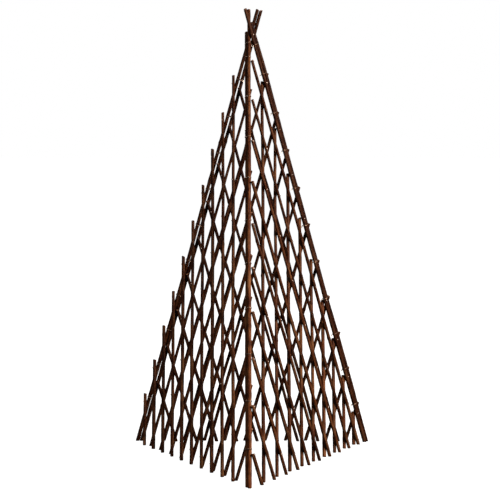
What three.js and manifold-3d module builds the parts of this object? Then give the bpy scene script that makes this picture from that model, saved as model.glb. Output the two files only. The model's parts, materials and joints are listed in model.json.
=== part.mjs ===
// A three-sided garden obelisk of willow rods, made of three flat lattice panels that fold like lazy tongs.
// Each panel has two layers of parallel rods. Seen from outside, the rods of its inner layer run along its
// left edge, and those of its outer layer along its right edge. Where two rods cross they turn about a nail.
// At each corner the edge rods of two panels lie side by side and are lashed together with wire: one post.
// Units are millimetres, +Z is up, and the origin is on the ground in the middle of the footprint's box.
import * as THREE from "three";
import { mergeVertices } from "three/addons/utils/BufferGeometryUtils.js";
import Module from "manifold-3d";

const wasm = await Module();
wasm.setup();

// Overall shape
const TIP_HEIGHT = 1220; // ground to the cut tips above the crossing
const APEX_HEIGHT = 1170; // ground to the point where the three corner lines would meet
const CORNER_RADIUS = 381; // obelisk's axis to a corner line, on the ground
const PANEL_COUNT = 3;
const FIRST_CORNER_DEG = 150; // left-hand corner of the first panel, anticlockwise from +X

// Rods: radius at the foot, and how much the radius shrinks for each millimetre of length
const EDGE_FOOT_RADIUS = 5.4;
const TAPER = 0.0008;
const THICKNESS_SPREAD = 0.06; // no two cut rods are equally thick
const ROD_SIDES = 8;
const LAYER_SPACING = 10.8; // between the middles of a panel's two layers

// Where the edge rods lie: distance from the corner line into the panel
const INNER_EDGE_INSET = -3.6;
const OUTER_EDGE_INSET = 14.5;

// Panels. Each rod hangs on the far edge's rod, at a level that is a share of the corner line below the apex.
// The bulge is how far the middle rods hang below even spacing, and a tail how far a rod runs past its nail.
const PANELS = [
  {
    name: "left",
    corner: "left",
    outer: { rods: 10, first: 0.128, pitch: 0.0857, bulge: 0, tail: 24, radius: 4.8 },
    inner: { rods: 9, first: 0.145, pitch: 0.0925, bulge: 0, tail: 6, radius: 4.6 },
  },
  {
    name: "right",
    corner: "front",
    outer: { rods: 10, first: 0.079, pitch: 0.0948, bulge: -0.012, tail: 4, radius: 4.5 },
    inner: { rods: 9, first: 0.127, pitch: 0.1, bulge: 0.02, tail: 6, radius: 4.85 },
  },
  {
    name: "rear",
    corner: "right",
    outer: { rods: 10, first: 0.115, pitch: 0.0885, bulge: 0, tail: 14, radius: 4.7 },
    inner: { rods: 9, first: 0.14, pitch: 0.0885, bulge: 0, tail: 6, radius: 4.6 },
  },
];

// Corner posts: how far a post's two rods stop short of the tips, and the wire lashings round the pair
const SHORT_TIPS = {
  left: { own: 0, beside: 3 },
  front: { own: 0, beside: 60 },
  right: { own: 35, beside: 0 },
};
const TOP_LASHING_LEVEL = 0.035;
const LASHING_LIFT = 14; // from a nail up to the lashing above it
const LASHING_HEIGHT = 3;
const LASHING_PROUD = 0.25; // a lashing's surface over the rods' own

const BARK = { color: 0x4a2515, roughness: 0.55, metalness: 0 };
const EDGE_BARK = { color: 0x5c3018, roughness: 0.5, metalness: 0 };

const apex = new THREE.Vector3(0, 0, APEX_HEIGHT);

// Point where a corner line meets the ground.
function cornerFoot(degrees) {
  const angle = THREE.MathUtils.degToRad(degrees);
  return new THREE.Vector3(CORNER_RADIUS * Math.cos(angle), CORNER_RADIUS * Math.sin(angle), 0);
}

// The plane of a panel: unit vectors down its two corner lines, from each line into the panel, and outwards.
function panelPlane(index) {
  const leftDegrees = FIRST_CORNER_DEG + (index * 360) / PANEL_COUNT;
  const downLeft = cornerFoot(leftDegrees).sub(apex);
  const cornerLength = downLeft.length();
  downLeft.normalize();
  const downRight = cornerFoot(leftDegrees + 360 / PANEL_COUNT).sub(apex).normalize();
  const apexAngle = downLeft.angleTo(downRight);
  const outward = new THREE.Vector3().crossVectors(downRight, downLeft).normalize();
  if (outward.dot(cornerFoot(leftDegrees + 180 / PANEL_COUNT)) < 0) outward.negate();
  const fromLeft = downRight.clone().addScaledVector(downLeft, -Math.cos(apexAngle)).normalize();
  const fromRight = downLeft.clone().addScaledVector(downRight, -Math.cos(apexAngle)).normalize();
  return { downLeft, downRight, fromLeft, fromRight, outward, apexAngle, cornerLength };
}

const planes = PANELS.map((panel, index) => panelPlane(index));

// A panel's point, given its distances from the left and the right corner line.
function panelPoint(plane, fromLeft, fromRight) {
  const perInset = 1 / Math.sin(plane.apexAngle);
  return apex
    .clone()
    .addScaledVector(plane.downRight, fromLeft * perInset)
    .addScaledVector(plane.downLeft, fromRight * perInset);
}

// A direction down a panel's rods in one layer, and the unit vector that its rods are spaced along.
function layerDirections(panelIndex, layer) {
  const plane = planes[panelIndex];
  if (layer === "inner") return { down: plane.downLeft, into: plane.fromLeft };
  return { down: plane.downRight, into: plane.fromRight };
}

// Where a layer's rod of a given inset would start, level with the apex along its own corner line.
function layerOrigin(panelIndex, layer, inset) {
  const offset = layer === "inner" ? -LAYER_SPACING / 2 : LAYER_SPACING / 2;
  const { into } = layerDirections(panelIndex, layer);
  return apex.clone().addScaledVector(into, inset).addScaledVector(planes[panelIndex].outward, offset);
}

// How far below the apex, along the corner line, a layer's rod hangs on the far edge's rod.
function rodLevel(panelIndex, layer, number) {
  const { rods, first, pitch, bulge } = PANELS[panelIndex][layer];
  const sag = bulge * Math.sin((Math.PI * (number - 1)) / (rods - 1));
  return (first + (number - 1) * pitch + sag) * planes[panelIndex].cornerLength;
}

// Distance from a rod to its own corner line.
function rodInset(panelIndex, layer, number) {
  const { apexAngle } = planes[panelIndex];
  const farInset = layer === "inner" ? OUTER_EDGE_INSET : INNER_EDGE_INSET;
  return rodLevel(panelIndex, layer, number) * Math.sin(apexAngle) - farInset;
}

// A tapered rod whose top is at (x, y, 0) and which runs down local Y, cut level with the ground.
function rodGeometry(matrix, x, y, length, footRadius) {
  const geometry = new THREE.CylinderGeometry(footRadius - TAPER * length, footRadius, length, ROD_SIDES);
  geometry.translate(x, y - length / 2, 0);
  const positions = geometry.getAttribute("position");
  const up = new THREE.Vector3(0, 1, 0).transformDirection(matrix);
  const vertex = new THREE.Vector3();
  for (let i = 0; i < positions.count; i += 1) {
    vertex.fromBufferAttribute(positions, i);
    if (vertex.y > y - length / 2) continue;
    const height = vertex.clone().applyMatrix4(matrix).z;
    positions.setY(i, vertex.y - height / up.z);
  }
  return geometry;
}

// Local axes at a rod's top: Y runs up the rod, and X points sideways along a given vector.
function rodMatrix(top, down, sideways) {
  const up = down.clone().negate();
  const side = sideways.clone().addScaledVector(up, -sideways.dot(up)).normalize();
  return new THREE.Matrix4().makeBasis(side, up, side.clone().cross(up)).setPosition(top);
}

function namedMesh(name, geometry, matrix, look) {
  geometry.computeVertexNormals();
  const mesh = new THREE.Mesh(geometry, new THREE.MeshStandardMaterial(look));
  mesh.name = name;
  mesh.applyMatrix4(matrix);
  return mesh;
}

// One lattice rod. It hangs by a nail on the far edge's post, except that the rear panel's outer rods are
// held by the nails in its first inner rod, because the loop of panels is left open at their far ends.
function latticeRod(panelIndex, layer, number) {
  const panel = PANELS[panelIndex];
  const plane = planes[panelIndex];
  const { tail, radius } = panel[layer];
  const inner = layer === "inner";
  const { down } = layerDirections(panelIndex, layer);
  const inset = rodInset(panelIndex, layer, number);
  const farInset = inner ? OUTER_EDGE_INSET : INNER_EDGE_INSET;
  const nail = inner ? panelPoint(plane, inset, farInset) : panelPoint(plane, farInset, inset);
  const origin = layerOrigin(panelIndex, layer, inset);
  const nailDown = nail.clone().sub(origin).dot(down);
  const top = origin.addScaledVector(down, nailDown - tail);
  const phase = number * 4.1 + panelIndex * 2.3 + (inner ? 0 : 1.7);
  const footRadius = radius * (1 + THICKNESS_SPREAD * Math.sin(phase));
  const matrix = rodMatrix(top, down, plane.outward);
  const geometry = rodGeometry(matrix, 0, 0, top.z / -down.z, footRadius);
  const rod = namedMesh(`${panel.name}_panel_${layer}_rod_${number}`, geometry, matrix, BARK);
  const farCorner = inner ? PANELS[(panelIndex + 1) % PANEL_COUNT].corner : panel.corner;
  rod.userData.hinge = { on: `${farCorner}_corner_post`, point: nail, axis: plane.outward };
  if (panel.name === "rear" && !inner) {
    rod.userData.hinge.on = "rear_panel_inner_rod_1";
    rod.userData.hinge.point = panelPoint(plane, rodInset(panelIndex, "inner", 1), inset);
  }
  return rod;
}

function toSolid(geometry) {
  geometry.deleteAttribute("normal");
  geometry.deleteAttribute("uv");
  const merged = mergeVertices(geometry);
  const vertProperties = merged.getAttribute("position").array;
  const triVerts = new Uint32Array(merged.index.array);
  return new wasm.Manifold(new wasm.Mesh({ numProp: 3, vertProperties, triVerts }));
}

function toGeometry(solid) {
  const { vertProperties, triVerts } = solid.getMesh();
  const geometry = new THREE.BufferGeometry();
  geometry.setAttribute("position", new THREE.BufferAttribute(vertProperties, 3));
  geometry.setIndex(new THREE.BufferAttribute(triVerts, 1));
  return geometry;
}

// A flat-sided collar round two upright rods that stand a given distance apart, with its middle at height y.
function lashingGeometry(spacing, radius, y) {
  const outline = new THREE.Shape();
  outline.absarc(spacing, 0, radius, -Math.PI / 2, Math.PI / 2);
  outline.absarc(0, 0, radius, Math.PI / 2, (3 * Math.PI) / 2);
  const options = { depth: LASHING_HEIGHT, bevelEnabled: false, curveSegments: ROD_SIDES / 2 };
  const geometry = new THREE.ExtrudeGeometry(outline, options);
  geometry.rotateX(-Math.PI / 2);
  geometry.translate(0, y - LASHING_HEIGHT / 2, 0);
  return geometry;
}

// The post at a panel's left corner: that panel's inner edge rod, the neighbour's outer edge rod beside it,
// and a lashing above each nail that holds one of the panel's outer rods.
function cornerPost(panelIndex) {
  const panel = PANELS[panelIndex];
  const plane = planes[panelIndex];
  const neighbourIndex = (panelIndex + PANEL_COUNT - 1) % PANEL_COUNT;
  const down = plane.downLeft;
  const origin = layerOrigin(panelIndex, "inner", INNER_EDGE_INSET);
  const beside = layerOrigin(neighbourIndex, "outer", OUTER_EDGE_INSET);
  const shortTips = SHORT_TIPS[panel.corner];
  const mainDown = (TIP_HEIGHT - shortTips.own - origin.z) / down.z;
  const besideDown = (TIP_HEIGHT - shortTips.beside - beside.z) / down.z;
  const top = origin.clone().addScaledVector(down, mainDown);
  const besideTop = beside.clone().addScaledVector(down, besideDown);
  const matrix = rodMatrix(top, down, besideTop.clone().sub(top));
  const local = besideTop.clone().applyMatrix4(matrix.clone().invert());
  const length = top.z / -down.z;
  let solid = toSolid(rodGeometry(matrix, 0, 0, length, EDGE_FOOT_RADIUS));
  solid = solid.add(toSolid(rodGeometry(matrix, local.x, local.y, besideTop.z / -down.z, EDGE_FOOT_RADIUS)));
  for (let number = 0; number <= panel.outer.rods; number += 1) {
    const nailLevel = rodLevel(panelIndex, "outer", number) - LASHING_LIFT;
    const level = number === 0 ? TOP_LASHING_LEVEL * plane.cornerLength : nailLevel;
    const y = mainDown - level;
    const radius = EDGE_FOOT_RADIUS - TAPER * (length + y) + LASHING_PROUD;
    solid = solid.add(toSolid(lashingGeometry(local.x, radius, y)));
  }
  return namedMesh(`${panel.corner}_corner_post`, toGeometry(solid), matrix, EDGE_BARK);
}

const obelisk = new THREE.Group();
PANELS.forEach((panel, index) => {
  obelisk.add(cornerPost(index));
  ["outer", "inner"].forEach((layer) => {
    for (let number = 1; number <= panel[layer].rods; number += 1) {
      obelisk.add(latticeRod(index, layer, number));
    }
  });
});

// The front post carries the other two. Each of them turns about the nail through a crossing of edge rods.
["left", "right"].forEach((corner, index) => {
  const point = panelPoint(planes[index], INNER_EDGE_INSET, OUTER_EDGE_INSET);
  const post = obelisk.getObjectByName(`${corner}_corner_post`);
  post.userData.hinge = { on: "front_corner_post", point, axis: planes[index].outward };
});

// Puts the origin in the middle of the footprint's box.
obelisk.updateMatrixWorld(true);
const shift = new THREE.Box3().setFromObject(obelisk, true).getCenter(new THREE.Vector3()).setZ(0).negate();
obelisk.userData.axis = shift.clone();
obelisk.children.forEach((mesh) => {
  mesh.position.add(shift);
  if (mesh.userData.hinge) mesh.userData.hinge.point.add(shift);
});

export default obelisk;
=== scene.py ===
"""Looks of the willow garden obelisk: crooked stained rods, wire lashings and nails on the CAD frame."""
import json
import math
import random

import bpy
from mathutils import Matrix, Vector, noise


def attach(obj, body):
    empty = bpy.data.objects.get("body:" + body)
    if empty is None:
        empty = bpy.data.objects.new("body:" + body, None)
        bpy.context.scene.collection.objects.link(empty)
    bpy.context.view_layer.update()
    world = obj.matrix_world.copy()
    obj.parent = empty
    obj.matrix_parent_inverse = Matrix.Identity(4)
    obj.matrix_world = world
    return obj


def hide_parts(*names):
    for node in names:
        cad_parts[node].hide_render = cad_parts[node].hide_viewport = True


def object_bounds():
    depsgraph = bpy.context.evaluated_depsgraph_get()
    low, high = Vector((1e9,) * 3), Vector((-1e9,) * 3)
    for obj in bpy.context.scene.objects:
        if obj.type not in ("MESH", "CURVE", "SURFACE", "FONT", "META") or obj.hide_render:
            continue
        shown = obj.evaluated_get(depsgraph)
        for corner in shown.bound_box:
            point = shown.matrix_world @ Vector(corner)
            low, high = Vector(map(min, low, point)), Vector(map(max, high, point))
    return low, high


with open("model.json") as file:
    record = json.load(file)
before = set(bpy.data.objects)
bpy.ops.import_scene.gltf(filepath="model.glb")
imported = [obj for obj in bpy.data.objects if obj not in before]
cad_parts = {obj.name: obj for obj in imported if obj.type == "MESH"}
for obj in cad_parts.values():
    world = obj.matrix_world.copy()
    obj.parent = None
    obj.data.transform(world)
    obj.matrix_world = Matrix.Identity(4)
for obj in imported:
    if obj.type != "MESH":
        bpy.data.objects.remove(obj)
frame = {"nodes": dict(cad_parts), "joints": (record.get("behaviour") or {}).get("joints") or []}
CAD_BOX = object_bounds()

# ---- driving values, in metres unless the name says otherwise ----
PANELS = {"left": ("left", "front"), "right": ("front", "right"), "rear": ("right", "left")}
OUTER_RODS = 10
INNER_RODS = 9

# how the CAD solids are read
GROUND_GAP = 1e-4  # a lower vertex belongs to a foot cut
ROD_GAP = 0.0005  # a vertex this close to a rod's surface belongs to the rod
CUT_GAP = 0.001  # so does one this close below its top, to the top cut
END_GAP = 0.012  # a post's vertices nearer than this to a rod's end belong to no lashing
LASHING_GAP = 0.01  # least distance between two lashings

# rods
ROD_SIDES = 16
RING_STEP = 0.007  # between rings along a rod
SKIN = 1.035  # drawn radius over the CAD prism's, which closes the air at the crossings
BEND_IN_PLANE = 0.0019
BEND_OUT_OF_PLANE = 0.0003
BEND_WAVES = ((7.1, 0.55), (15.3, 0.3), (33.0, 0.12))  # radians a metre, and share of the bend
STRAIGHT_FOOT = 0.15  # length over which the bend sets in
FULLY_BENT_LENGTH = 0.5  # shorter rods bend less
FIRST_NODE = (0.02, 0.08)  # height of the lowest leaf scar
NODE_SPACING = (0.045, 0.115)  # between the leaf scars of a rod
NODE_SWELL = 0.055  # share of the radius
NODE_REACH = 0.006  # half length of the swelling
BUD_HEIGHT = 0.0011
BUD_REACH = 0.0035
ROUGHNESS = (0.035, 0.018)  # coarse and fine unevenness, as shares of the radius
FOOT_TILT = 0.003  # length over which the level foot cut blends into the rod
TOP_CUT_LENGTH = 0.0007
TOP_CUT_SLANT_DEG = (4, 26)

# how light the bark of each kind of rod is, from 0 to 1: partly tone that differs at random from rod to
# rod, partly painted shade, as the rear panel's rods are painted near black as though seen in shade
LATTICE_TONES_AND_PAINTED_SHADE = {
    "left": {"outer": (0.2, 0.55), "inner": (0.0, 0.2)},
    "right": {"outer": (0.15, 0.5), "inner": (0.35, 0.8)},
    "rear": {"outer": (0.0, 0.2), "inner": (0.0, 0.08)},
}
# the corner posts' lightness is painted light and shade: the front post is painted light as though lit, and
# the left and right posts are painted dark as shade
EDGE_TONES_PAINTED_LIGHT_AND_SHADE = {"front": (0.85, 1.0), "left": (0.0, 0.15), "right": (0.0, 0.12)}
TOP_PAINTED_SHADE = 0.55  # share of that lightness lost at the very top: painted shade, darker towards the top

# wire lashings and nails
WIRE_RADIUS = 0.00055
WIRE_SIDES = 7
WIRE_SLACK = 1.05  # radius of a winding over the rods' own
LASHING_TURNS = 2
LASHING_ARC_POINTS = 10  # round each of the two rods
LASHING_PITCH = 2.15  # in wire radii
LASHING_LEAN = 0.0012  # most rise in LEAN_RUN across the two rods
LEAN_RUN = 0.01
PIGTAIL_LENGTH = 0.006  # the two wire ends, twisted together
PIGTAIL_RADIUS = 1.6  # in wire radii
PIGTAIL_STEPS = 24
PIGTAIL_TWIST = 0.75  # radians a step
PIGTAIL_DROOP = (0.4, 1.1)
NAIL_HEAD_RADIUS = 0.0021
NAIL_HEAD_HEIGHT = 0.0009
NAIL_SIDES = 12
NAIL_MARGIN = 0.004  # least distance from a nail to a rod's foot
NAIL_TOP_MARGIN = 0.002

AXIS = Vector((-0.0032, 0.0925, 0.0))  # the obelisk's upright middle line
CAMERA_DISTANCE = 4.095  # from the obelisk's axis
CAMERA_HEIGHT = 0.902
CAMERA_PITCH = 0.0813  # radians below level
CAMERA_YAW = -0.0068  # radians that the camera is turned about the axis
CAMERA_PAN = 0.0008  # radians that it looks to the left of the axis
LENS_MM = 108.3

FLOOR_REACH = 40
AIM_HEIGHT = 0.55  # where the lamps point on the obelisk's middle line
# name, azimuth from the front and elevation in degrees, distance, size, watts, colour
AREA_LIGHTS = [
    ("key", 48, 24, 3.2, 1.1, 400, (1.0, 0.96, 0.9)),
    ("fill", -55, 20, 4.0, 2.5, 30, (0.95, 0.96, 1.0)),
    ("back", 200, 40, 4.0, 2.5, 240, (1.0, 0.97, 0.93)),
]


def first_vertices_at_ground(points):
    return [p for p in points if p.z < GROUND_GAP]


def middle(points):
    return sum(points, Vector()) / len(points)


def node_points(node):
    return [v.co.copy() for v in frame["nodes"][node].data.vertices]


def distance_to_line(point, start, direction):
    offset = point - start
    return (offset - direction * offset.dot(direction)).length


# ---- where the rods are, read from the CAD solids ----
def lattice_rod_line(node):
    """Foot, upward direction, length and end radii of a straight prism that stands on the ground."""
    points = node_points(node)
    feet = first_vertices_at_ground(points)
    tops = [p for p in points if p.z >= GROUND_GAP]
    foot = (min_corner(feet) + max_corner(feet)) / 2
    top = (min_corner(tops) + max_corner(tops)) / 2
    direction = (top - foot).normalized()
    foot_radius = max(distance_to_line(p, foot, direction) for p in feet)
    top_radius = max(distance_to_line(p, foot, direction) for p in tops)
    length = (top - foot).length
    return {"foot": foot, "up": direction, "length": length, "r0": foot_radius, "r1": top_radius}


def min_corner(points):
    return Vector([min(p[i] for p in points) for i in range(3)])


def max_corner(points):
    return Vector([max(p[i] for p in points) for i in range(3)])


def post_lines(corner, own_panel_rod):
    """A post's rod from its own panel, its rod from the neighbour, and how far up the lashings sit."""
    direction = own_panel_rod["up"]
    points = node_points(f"{corner}_corner_post")
    feet = first_vertices_at_ground(points)
    spread = max(((a - b) for a in feet for b in feet), key=lambda v: v.length).normalized()
    centre = middle([min_corner(feet), max_corner(feet)])
    lines = []
    for side in (-1, 1):
        own = [p for p in feet if (p - centre).dot(spread) * side > 0]
        foot = middle([min_corner(own), max_corner(own)])
        radius = max(distance_to_line(p, foot, direction) for p in own)
        near = [p for p in points if distance_to_line(p, foot, direction) < radius + ROD_GAP]
        length = max((p - foot).dot(direction) for p in near)
        tops = [p for p in near if (p - foot).dot(direction) > length - CUT_GAP]
        top_radius = max(distance_to_line(p, foot, direction) for p in tops)
        lines.append({"foot": foot, "up": direction, "length": length, "r0": radius, "r1": top_radius})
    lines.sort(key=lambda line: abs((line["foot"] - own_panel_rod["foot"]).dot(own_panel_rod["outward"])))
    ends = [(line["foot"] - lines[0]["foot"]).dot(direction) for line in lines]
    ends += [end + line["length"] for end, line in zip(ends, lines)]
    heights = sorted((p - lines[0]["foot"]).dot(direction) for p in points)
    heights = [h for h in heights if min(abs(h - end) for end in ends) > END_GAP]
    groups = [[heights[0]]]
    for h in heights[1:]:
        if h - groups[-1][-1] > LASHING_GAP:
            groups.append([])
        groups[-1].append(h)
    return lines, [(g[0] + g[-1]) / 2 for g in groups]


def panel_outward(panel):
    for joint in frame["joints"]:
        if joint["child"] == f"{panel}_panel_inner_rod_1":
            return Vector(joint["axis"]).normalized()
    raise ValueError(panel)


OUTWARD = {panel: panel_outward(panel) for panel in PANELS}
RODS = {}
for panel in PANELS:
    for layer, count in (("outer", OUTER_RODS), ("inner", INNER_RODS)):
        for number in range(1, count + 1):
            name = f"{panel}_panel_{layer}_rod_{number}"
            rod = lattice_rod_line(name)
            rod.update(body=name, outward=OUTWARD[panel], tones=LATTICE_TONES_AND_PAINTED_SHADE[panel][layer])
            RODS[name] = rod

LASHING_HEIGHTS = {}
for panel, (corner, _) in PANELS.items():
    lines, LASHING_HEIGHTS[corner] = post_lines(corner, RODS[f"{panel}_panel_inner_rod_1"])
    neighbour = next(p for p, corners in PANELS.items() if corners[1] == corner)
    for line, owner, layer in ((lines[0], panel, "inner"), (lines[1], neighbour, "outer")):
        line.update(body=f"{corner}_corner_post", outward=OUTWARD[owner], tones=EDGE_TONES_PAINTED_LIGHT_AND_SHADE[corner])
        RODS[f"{owner}_panel_{layer}_edge_rod"] = line


# ---- meshes ----
def new_object(name, vertices, faces, smooth=True):
    mesh = bpy.data.meshes.new(name)
    mesh.from_pydata([tuple(v) for v in vertices], [], faces)
    mesh.validate()
    mesh.polygons.foreach_set("use_smooth", [smooth] * len(mesh.polygons))
    obj = bpy.data.objects.new(name, mesh)
    bpy.context.scene.collection.objects.link(obj)
    return obj


def bend(amount, length, phases, s):
    """Slow crookedness of a rod: nothing at its foot, and about the given amount elsewhere."""
    reach = min(1.0, s / STRAIGHT_FOOT) * min(1.0, length / FULLY_BENT_LENGTH)
    waves = sum(math.sin(s * rate + phase) * share for (rate, share), phase in zip(BEND_WAVES, phases))
    return amount * reach * waves


def leaf_scars(length, rng):
    """Height, direction round the rod and strength of each of a rod's leaf scars."""
    scars = []
    s = rng.uniform(*FIRST_NODE)
    while s < length - 0.015:
        scars.append((s, rng.uniform(0, 2 * math.pi), rng.uniform(0.5, 1.0)))
        s += rng.uniform(*NODE_SPACING)
    return scars


def rod_object(name, rod, seed):
    """A crooked, tapered willow rod with swollen leaf scars, a level foot and an oblique top cut."""
    rng = random.Random(seed)
    phases = [rng.uniform(0, 2 * math.pi) for _ in range(6)]
    length = rod["length"]
    up = rod["up"]
    across = rod["outward"].cross(up).normalized()
    scars = leaf_scars(length, rng)
    count = max(6, int(length / RING_STEP))
    slant = math.tan(math.radians(rng.uniform(*TOP_CUT_SLANT_DEG)))
    slant_angle = rng.uniform(0, 2 * math.pi)
    heights = [0.0, FOOT_TILT] + [length * i / count for i in range(1, count)]
    heights += [length - TOP_CUT_LENGTH, length]
    vertices = []
    grain = []
    knots = []
    rim = []
    offset = rng.uniform(0, 40)

    def centre_at(s):
        in_plane = bend(BEND_IN_PLANE, length, phases[:3], s)
        out_of_plane = bend(BEND_OUT_OF_PLANE, length, phases[3:], s)
        return rod["foot"] + up * s + across * in_plane + rod["outward"] * out_of_plane

    def add_ring(s, shrink, rim_value):
        centre = centre_at(s)
        base_radius = (rod["r0"] + (rod["r1"] - rod["r0"]) * s / length) * SKIN * shrink
        for i in range(ROD_SIDES):
            angle = 2 * math.pi * i / ROD_SIDES
            spoke = across * math.cos(angle) + rod["outward"] * math.sin(angle)
            knot = 0.0
            bud = 0.0
            for scar, scar_angle, strength in scars:
                gap = (s - scar) / NODE_REACH
                if abs(gap) > 3:
                    continue
                near = math.exp(-gap * gap)
                facing = max(0.0, math.cos(angle - scar_angle)) ** 6
                knot = max(knot, near * strength)
                bud += BUD_HEIGHT * strength * facing * math.exp(-((s - scar) / BUD_REACH) ** 2)
            place = Vector((math.cos(angle) * 0.9, math.sin(angle) * 0.9, s * 30 + offset))
            rough = noise.noise(place) * ROUGHNESS[0] + noise.noise(place * 3.1) * ROUGHNESS[1]
            radius = base_radius * (1 + NODE_SWELL * knot + rough) + bud * shrink
            point = centre + spoke * radius
            if s >= length - CUT_GAP:
                lean = slant * radius * (math.cos(angle - slant_angle) - 1)
                point += up * lean
            if s == 0.0:
                point -= up * (point.z / up.z)
            vertices.append(point)
            grain.append((math.cos(angle) * base_radius, math.sin(angle) * base_radius, s + offset))
            knots.append(knot)
            rim.append(rim_value)

    add_ring(0.0, 0.55, 0.55)
    add_ring(0.0, 0.95, 1.0)
    for s in heights[1:-1]:
        add_ring(s, 1.0, 1.0)
    add_ring(length, 0.93, 1.0)
    add_ring(length, 0.5, 0.5)
    rings = len(vertices) // ROD_SIDES
    faces = []
    for ring in range(rings - 1):
        for i in range(ROD_SIDES):
            a = ring * ROD_SIDES + i
            b = ring * ROD_SIDES + (i + 1) % ROD_SIDES
            faces.append((a, b, b + ROD_SIDES, a + ROD_SIDES))
    for ring, flip in ((0, True), (rings - 1, False)):
        loop = [vertices[ring * ROD_SIDES + i] for i in range(ROD_SIDES)]
        vertices.append(middle(loop))
        grain.append((0, 0, offset))
        knots.append(0)
        rim.append(0)
        tip = len(vertices) - 1
        for i in range(ROD_SIDES):
            a = ring * ROD_SIDES + i
            b = ring * ROD_SIDES + (i + 1) % ROD_SIDES
            faces.append((b, a, tip) if flip else (a, b, tip))
    obj = new_object(name, vertices, faces)
    mesh = obj.data
    # the foot cut lies between rings 0 and 1, and the top cut between the last two
    for polygon in mesh.polygons:
        indices = list(polygon.vertices)
        at_foot = all(v < 2 * ROD_SIDES or v >= rings * ROD_SIDES for v in indices)
        at_top = all(v >= (rings - 2) * ROD_SIDES for v in indices)
        if at_foot or at_top:
            polygon.material_index = 1
            polygon.use_smooth = False
    attribute = mesh.attributes.new("grain", "FLOAT_VECTOR", "POINT")
    attribute.data.foreach_set("vector", [c for g in grain for c in g])
    tone = rng.uniform(*rod["tones"])
    # painted shade: each rod's lightness falls off with height
    tones = [tone * (1 - TOP_PAINTED_SHADE * vertex.z / CAD_BOX[1].z) for vertex in vertices]
    for label, values in (("knot", knots), ("rim", rim), ("tone", tones)):
        attribute = mesh.attributes.new(label, "FLOAT", "POINT")
        attribute.data.foreach_set("value", values)
    mesh.materials.append(BARK)
    mesh.materials.append(CUT_WOOD)
    return obj


def tube(points, radius, sides, vertices, faces):
    """Adds a closed round tube along a list of points."""
    start = len(vertices)
    side = None
    for i, point in enumerate(points):
        before = points[max(0, i - 1)]
        after = points[min(len(points) - 1, i + 1)]
        along = (after - before).normalized()
        if side is None:
            side = along.orthogonal().normalized()
        side = (side - along * side.dot(along)).normalized()
        other = along.cross(side)
        for k in range(sides):
            angle = 2 * math.pi * k / sides
            vertices.append(point + (side * math.cos(angle) + other * math.sin(angle)) * radius)
    for i in range(len(points) - 1):
        for k in range(sides):
            a = start + i * sides + k
            b = start + i * sides + (k + 1) % sides
            faces.append((a, b, b + sides, a + sides))
    faces.append(tuple(start + k for k in reversed(range(sides))))
    last = start + (len(points) - 1) * sides
    faces.append(tuple(last + k for k in range(sides)))


def lashing(first, second, height, towards, rng, vertices, faces):
    """Adds wire wound round two rods, with its ends twisted together, and returns the ends' faces."""
    up = first["up"]
    a = first["foot"] + up * height
    b = second["foot"] + up * (a - second["foot"]).dot(up)
    line = (b - a).normalized()
    normal = up.cross(line)
    share = height / first["length"]
    radius = (first["r0"] + (first["r1"] - first["r0"]) * share) * SKIN * WIRE_SLACK + WIRE_RADIUS
    outline = []
    for centre, start_angle in ((b, math.pi / 2), (a, -math.pi / 2)):
        for k in range(LASHING_ARC_POINTS):
            angle = start_angle - math.pi * k / (LASHING_ARC_POINTS - 1)
            outline.append(centre + line * math.cos(angle) * radius + normal * math.sin(angle) * radius)
    start = max(range(len(outline)), key=lambda i: (outline[i] - a).dot(towards))
    total = LASHING_TURNS * len(outline)
    pitch = WIRE_RADIUS * LASHING_PITCH
    lean = rng.uniform(-LASHING_LEAN, LASHING_LEAN)
    path = []
    for i in range(total + 1):
        point = outline[(start + i) % len(outline)]
        rise = (i / len(outline) - LASHING_TURNS / 2) * pitch
        path.append(point + up * (rise + lean * (point - a).dot(line) / LEAN_RUN))
    tube(path, WIRE_RADIUS, WIRE_SIDES, vertices, faces)
    winding_end = len(faces)
    root = outline[start] + towards * WIRE_RADIUS
    direction = (towards - up * rng.uniform(*PIGTAIL_DROOP)).normalized()
    side = direction.orthogonal().normalized()
    other = direction.cross(side)
    for phase in (0, math.pi):
        strand = []
        for i in range(PIGTAIL_STEPS + 1):
            angle = phase + i * PIGTAIL_TWIST
            reach = PIGTAIL_LENGTH * i / PIGTAIL_STEPS
            offset = (side * math.cos(angle) + other * math.sin(angle)) * WIRE_RADIUS * 1.02
            strand.append(root + direction * reach + offset)
        tube(strand, WIRE_RADIUS * PIGTAIL_RADIUS, WIRE_SIDES, vertices, faces)
    return range(winding_end, len(faces))


def nail_head(centre, outward, vertices, faces):
    """A low dome that sits on a rod, with a short shank going into it."""
    side = outward.orthogonal().normalized()
    other = outward.cross(side)
    # share of the head's radius; and depth in metres below the bark, or share of the head's height above it
    rows = [(0.45, -0.0022), (0.45, -0.0002), (1.0, -0.0001), (1.0, 0.35), (0.86, 0.72), (0.5, 0.95)]
    sides = NAIL_SIDES
    start = len(vertices)
    for spread, rise in rows:
        lift = rise * NAIL_HEAD_HEIGHT if rise > 0 else rise
        for k in range(sides):
            angle = 2 * math.pi * k / sides
            spoke = (side * math.cos(angle) + other * math.sin(angle)) * NAIL_HEAD_RADIUS * spread
            vertices.append(centre + spoke + outward * lift)
    for row in range(len(rows) - 1):
        for k in range(sides):
            a = start + row * sides + k
            b = start + row * sides + (k + 1) % sides
            faces.append((a, b, b + sides, a + sides))
    faces.append(tuple(start + k for k in reversed(range(sides))))
    top = start + (len(rows) - 1) * sides
    vertices.append(centre + outward * NAIL_HEAD_HEIGHT)
    for k in range(sides):
        faces.append((top + k, top + (k + 1) % sides, len(vertices) - 1))


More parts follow.
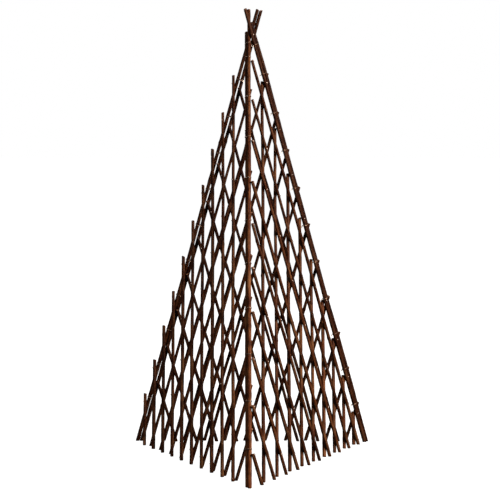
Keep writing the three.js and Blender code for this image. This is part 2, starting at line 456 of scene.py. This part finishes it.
def crossing(outer, inner):
    """Point on the outer rod's axis where it passes the inner rod, and both rods' heights there."""
    offset = outer["foot"] - inner["foot"]
    b = outer["up"].dot(inner["up"])
    c = outer["up"].dot(offset)
    f = inner["up"].dot(offset)
    s = (b * f - c) / (1 - b * b)
    t = b * s + f
    return outer["foot"] + outer["up"] * s, s, t


# ---- materials ----
def node_material(name):
    material = bpy.data.materials.new(name)
    material.use_nodes = True
    return material, material.node_tree.nodes, material.node_tree.links


def add_ramp(nodes, links, source, stops):
    ramp = nodes.new("ShaderNodeValToRGB")
    ramp.color_ramp.elements[0].position = stops[0][0]
    ramp.color_ramp.elements[0].color = (*stops[0][1], 1)
    ramp.color_ramp.elements[1].position = stops[-1][0]
    ramp.color_ramp.elements[1].color = (*stops[-1][1], 1)
    for position, colour in stops[1:-1]:
        ramp.color_ramp.elements.new(position).color = (*colour, 1)
    links.new(source, ramp.inputs[0])
    return ramp.outputs[0]


def add_noise(nodes, links, vector, scale, detail=4.0, roughness=0.55):
    texture = nodes.new("ShaderNodeTexNoise")
    texture.inputs["Scale"].default_value = scale
    texture.inputs["Detail"].default_value = detail
    texture.inputs["Roughness"].default_value = roughness
    links.new(vector, texture.inputs["Vector"])
    return texture.outputs["Fac"]


def add_attribute(nodes, name):
    attribute = nodes.new("ShaderNodeAttribute")
    attribute.attribute_name = name
    return attribute


def add_stretch(nodes, links, vector, scale):
    mapping = nodes.new("ShaderNodeMapping")
    mapping.inputs["Scale"].default_value = scale
    links.new(vector, mapping.inputs["Vector"])
    return mapping.outputs["Vector"]


def add_mix(nodes, links, factor, a, b, blend="MIX"):
    mix = nodes.new("ShaderNodeMix")
    mix.data_type = "RGBA"
    mix.blend_type = blend
    if isinstance(factor, (int, float)):
        mix.inputs["Factor"].default_value = factor
    else:
        links.new(factor, mix.inputs["Factor"])
    for socket, value in ((mix.inputs["A"], a), (mix.inputs["B"], b)):
        if isinstance(value, tuple):
            socket.default_value = (*value, 1)
        else:
            links.new(value, socket)
    return mix.outputs["Result"]


def add_maths(nodes, links, operation, a, b):
    maths = nodes.new("ShaderNodeMath")
    maths.operation = operation
    for socket, value in zip(maths.inputs, (a, b)):
        if isinstance(value, (int, float)):
            socket.default_value = value
        else:
            links.new(value, socket)
    return maths.outputs[0]


def bark_material():
    """Stained willow bark: long streaks, darker leaf scars, pale lenticels and worn lighter patches."""
    material, nodes, links = node_material("stained_willow_bark")
    shader = nodes["Principled BSDF"]
    grain = add_attribute(nodes, "grain").outputs["Vector"]
    tone = add_attribute(nodes, "tone").outputs["Fac"]
    knot = add_attribute(nodes, "knot").outputs["Fac"]
    streaks = add_noise(nodes, links, add_stretch(nodes, links, grain, (420, 420, 26)), 1.0, 6.0, 0.6)
    patches = add_noise(nodes, links, add_stretch(nodes, links, grain, (60, 60, 14)), 1.0, 3.0)
    fissures = add_noise(nodes, links, add_stretch(nodes, links, grain, (1500, 1500, 110)), 1.0, 5.0, 0.65)
    base = add_ramp(nodes, links, streaks, [
        (0.32, (0.008, 0.0009, 0.0002)),
        (0.5, (0.027, 0.0062, 0.0018)),
        (0.7, (0.08, 0.03, 0.013)),
    ])
    worn = add_ramp(nodes, links, patches, [(0.5, (0, 0, 0)), (0.72, (1, 1, 1))])
    worn_share = add_maths(nodes, links, "MULTIPLY", worn, 0.55)
    base = add_mix(nodes, links, worn_share, base, (0.11, 0.048, 0.023))
    # the per-rod tone scales the bark colour; besides random tone it carries painted light and shade
    tone_with_painted_shade = add_ramp(nodes, links, tone, [(0.0, (0.3, 0.24, 0.22)), (1.0, (1.9, 1.9, 1.5))])
    base = add_mix(nodes, links, 1.0, base, tone_with_painted_shade, "MULTIPLY")
    scar_share = add_maths(nodes, links, "MULTIPLY", knot, 0.7)
    base = add_mix(nodes, links, scar_share, base, (0.006, 0.0012, 0.0006))
    cells = nodes.new("ShaderNodeTexVoronoi")
    cells.inputs["Scale"].default_value = 1.0
    links.new(add_stretch(nodes, links, grain, (330, 330, 150)), cells.inputs["Vector"])
    lenticels = add_ramp(nodes, links, cells.outputs["Distance"], [(0.1, (1, 1, 1)), (0.2, (0, 0, 0))])
    lenticel_share = add_maths(nodes, links, "MULTIPLY", lenticels, 0.45)
    base = add_mix(nodes, links, lenticel_share, base, (0.16, 0.075, 0.035))
    links.new(base, shader.inputs["Base Color"])
    gloss = add_ramp(nodes, links, patches, [(0.3, (0.42, 0.42, 0.42)), (0.75, (0.68, 0.68, 0.68))])
    links.new(gloss, shader.inputs["Roughness"])
    shader.inputs["Specular IOR Level"].default_value = 0.03
    fine = nodes.new("ShaderNodeBump")
    fine.inputs["Strength"].default_value = 0.55
    fine.inputs["Distance"].default_value = 0.0004
    links.new(add_maths(nodes, links, "ADD", fissures, add_maths(nodes, links, "MULTIPLY", lenticels, 0.5)),
              fine.inputs["Height"])
    links.new(fine.outputs["Normal"], shader.inputs["Normal"])
    return material


def cut_wood_material():
    """Sawn rod ends: stained end grain with a dark pith, growth rings and a dark bark rim."""
    material, nodes, links = node_material("stained_cut_wood")
    shader = nodes["Principled BSDF"]
    rim = add_attribute(nodes, "rim").outputs["Fac"]
    grain = add_attribute(nodes, "grain").outputs["Vector"]
    fibres = add_noise(nodes, links, add_stretch(nodes, links, grain, (1600, 1600, 1600)), 1.0, 4.0)
    rings = add_maths(nodes, links, "SINE", add_maths(nodes, links, "MULTIPLY", rim, 24.0), 0.0)
    ring_shade = add_ramp(nodes, links, rings, [(0.0, (0.075, 0.029, 0.013)), (1.0, (0.14, 0.062, 0.03))])
    pith = add_ramp(nodes, links, rim, [
        (0.1, (0.012, 0.006, 0.004)),
        (0.24, (1, 1, 1)),
        (0.86, (1, 1, 1)),
        (0.97, (0.12, 0.1, 0.09)),
    ])
    colour = add_mix(nodes, links, 1.0, ring_shade, pith, "MULTIPLY")
    speckle = add_ramp(nodes, links, fibres, [(0.3, (0.55, 0.52, 0.5)), (0.7, (1.1, 1.1, 1.1))])
    links.new(add_mix(nodes, links, 1.0, colour, speckle, "MULTIPLY"), shader.inputs["Base Color"])
    shader.inputs["Roughness"].default_value = 0.82
    shader.inputs["Specular IOR Level"].default_value = 0.2
    bump = nodes.new("ShaderNodeBump")
    bump.inputs["Strength"].default_value = 0.5
    bump.inputs["Distance"].default_value = 0.0003
    links.new(fibres, bump.inputs["Height"])
    links.new(bump.outputs["Normal"], shader.inputs["Normal"])
    return material


def metal_material(name, colour, tarnish, roughness, metallic):
    """Soft iron wire and nails: bright where rubbed, dull where weathered. The pale colour of the twisted
    wire ends is a painted highlight that stands in for glints.
    """
    material, nodes, links = node_material(name)
    shader = nodes["Principled BSDF"]
    place = nodes.new("ShaderNodeTexCoord").outputs["Object"]
    blotches = add_noise(nodes, links, place, 420.0, 4.0)
    scratches = add_noise(nodes, links, place, 2600.0, 3.0)
    mask = add_ramp(nodes, links, blotches, [(0.42, (0, 0, 0)), (0.68, (1, 1, 1))])
    links.new(add_mix(nodes, links, mask, colour, tarnish), shader.inputs["Base Color"])
    spread = add_ramp(nodes, links, blotches, [
        (0.3, (roughness, roughness, roughness)),
        (0.75, (roughness + 0.25, roughness + 0.25, roughness + 0.25)),
    ])
    links.new(spread, shader.inputs["Roughness"])
    shader.inputs["Metallic"].default_value = metallic
    bump = nodes.new("ShaderNodeBump")
    bump.inputs["Strength"].default_value = 0.25
    bump.inputs["Distance"].default_value = 0.0001
    links.new(scratches, bump.inputs["Height"])
    links.new(bump.outputs["Normal"], shader.inputs["Normal"])
    return material


BARK = bark_material()
CUT_WOOD = cut_wood_material()
WIRE = metal_material("binding_wire", (0.2, 0.12, 0.08), (0.07, 0.035, 0.02), 0.38, 1.0)
# the twisted ends get a pale colour that stands in for bright glints: a painted highlight
TWISTED_WIRE_PAINTED_GLINT = metal_material("twisted_wire_ends_painted_glint", (0.92, 0.8, 0.68), (0.62, 0.48, 0.38), 0.45, 0.35)
NAIL = metal_material("nail_steel", (0.36, 0.27, 0.22), (0.07, 0.035, 0.022), 0.4, 0.9)

# ---- camera ----
turn = Matrix.Rotation(CAMERA_YAW, 4, "Z")
camera_data = bpy.data.cameras.new("camera")
camera_data.lens = LENS_MM
camera_data.sensor_width = 36
camera = bpy.data.objects.new("camera", camera_data)
bpy.context.scene.collection.objects.link(camera)
camera.location = AXIS + turn @ Vector((0, -CAMERA_DISTANCE, CAMERA_HEIGHT))
camera.rotation_euler = (math.pi / 2 - CAMERA_PITCH, 0, CAMERA_YAW + CAMERA_PAN)
bpy.context.scene.camera = camera

# ---- pieces ----
for index, (name, rod) in enumerate(sorted(RODS.items())):
    piece = rod_object(f"{name}_willow", rod, 100 + index)
    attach(piece, rod["body"])
    if name.endswith("edge_rod"):
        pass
    else:
        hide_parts(name)

for panel in PANELS:
    inner_rods = [RODS[f"{panel}_panel_inner_edge_rod"]]
    inner_rods += [RODS[f"{panel}_panel_inner_rod_{n}"] for n in range(1, INNER_RODS + 1)]
    outer_names = [f"{panel}_panel_outer_edge_rod"]
    outer_names += [f"{panel}_panel_outer_rod_{n}" for n in range(1, OUTER_RODS + 1)]
    for outer_name in outer_names:
        outer = RODS[outer_name]
        vertices = []
        faces = []
        for inner in inner_rods:
            point, s, t = crossing(outer, inner)
            on_outer = NAIL_MARGIN < s < outer["length"] - NAIL_TOP_MARGIN
            if not (on_outer and NAIL_MARGIN < t < inner["length"]):
                continue
            radius = (outer["r0"] + (outer["r1"] - outer["r0"]) * s / outer["length"]) * SKIN
            nail_head(point + outer["outward"] * (radius + 0.0001), outer["outward"], vertices, faces)
        if faces:
            nails = new_object(f"{outer_name}_nails", vertices, faces)
            nails.data.materials.append(NAIL)
            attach(nails, outer["body"])

for panel, (corner, _) in PANELS.items():
    neighbour = next(p for p, corners in PANELS.items() if corners[1] == corner)
    first = RODS[f"{panel}_panel_inner_edge_rod"]
    second = RODS[f"{neighbour}_panel_outer_edge_rod"]
    rng = random.Random(len(corner) * 7 + 1)
    towards = first["up"].cross(first["outward"]).normalized()
    if towards.dot(RODS[f"{panel}_panel_inner_rod_5"]["foot"] - first["foot"]) < 0:
        towards.negate()
    vertices = []
    faces = []
    twisted = []
    for height in LASHING_HEIGHTS[corner]:
        twisted.extend(lashing(first, second, height, towards, rng, vertices, faces))
    ties = new_object(f"{corner}_corner_lashings", vertices, faces)
    ties.data.materials.append(WIRE)
    ties.data.materials.append(TWISTED_WIRE_PAINTED_GLINT)
    for face in twisted:
        ties.data.polygons[face].material_index = 1
    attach(ties, f"{corner}_corner_post")
    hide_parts(f"{corner}_corner_post")

# ---- floor and light ----
floor_corners = [(x * FLOOR_REACH, y * FLOOR_REACH, 0) for x, y in ((-1, -1), (1, -1), (1, 1), (-1, 1))]
floor = new_object("floor", floor_corners, [(0, 1, 2, 3)], smooth=False)
floor_material, floor_nodes, _ = node_material("floor_paper")
floor_shader = floor_nodes["Principled BSDF"]
floor_shader.inputs["Base Color"].default_value = (0.12, 0.12, 0.12, 1)
floor_shader.inputs["Roughness"].default_value = 1.0
floor_shader.inputs["Specular IOR Level"].default_value = 0.0
floor_shader.inputs["Emission Color"].default_value = (1, 1, 1, 1)
floor_shader.inputs["Emission Strength"].default_value = 0.96
floor.data.materials.append(floor_material)
floor.location.z = -0.0005
floor.visible_diffuse = False
floor.visible_glossy = False
floor.visible_shadow = False

# white to the camera, and a dimmer surround to everything the obelisk is lit by
world = bpy.data.worlds.new("studio")
world.use_nodes = True
world_nodes = world.node_tree.nodes
world_links = world.node_tree.links
surround = world_nodes["Background"]
surround.inputs["Color"].default_value = (0.94, 0.95, 1.0, 1)
surround.inputs["Strength"].default_value = 0.12
backdrop = world_nodes.new("ShaderNodeBackground")
backdrop.inputs["Color"].default_value = (1, 1, 1, 1)
backdrop.inputs["Strength"].default_value = 1.0
choice = world_nodes.new("ShaderNodeMixShader")
world_links.new(world_nodes.new("ShaderNodeLightPath").outputs["Is Camera Ray"], choice.inputs["Fac"])
world_links.new(surround.outputs["Background"], choice.inputs[1])
world_links.new(backdrop.outputs["Background"], choice.inputs[2])
world_links.new(choice.outputs["Shader"], world_nodes["World Output"].inputs["Surface"])
bpy.context.scene.world = world
bpy.context.scene.view_settings.view_transform = "Standard"

overhead_data = bpy.data.lights.new("overhead", "SUN")
overhead_data.energy = 1.5
overhead_data.angle = math.radians(60)
overhead = bpy.data.objects.new("overhead", overhead_data)
bpy.context.scene.collection.objects.link(overhead)
overhead.location = (0, 0, 3)


def area_light(name, azimuth, elevation, distance, size, power, colour):
    data = bpy.data.lights.new(name, "AREA")
    data.size = size
    data.energy = power
    data.color = colour
    light = bpy.data.objects.new(name, data)
    bpy.context.scene.collection.objects.link(light)
    a = math.radians(azimuth)
    e = math.radians(elevation)
    aim = AXIS + Vector((0, 0, AIM_HEIGHT))
    direction = Vector((math.sin(a) * math.cos(e), -math.cos(a) * math.cos(e), math.sin(e)))
    light.location = aim + direction * distance
    light.rotation_euler = (aim - light.location).to_track_quat("-Z", "Y").to_euler()


for settings in AREA_LIGHTS:
    area_light(*settings)
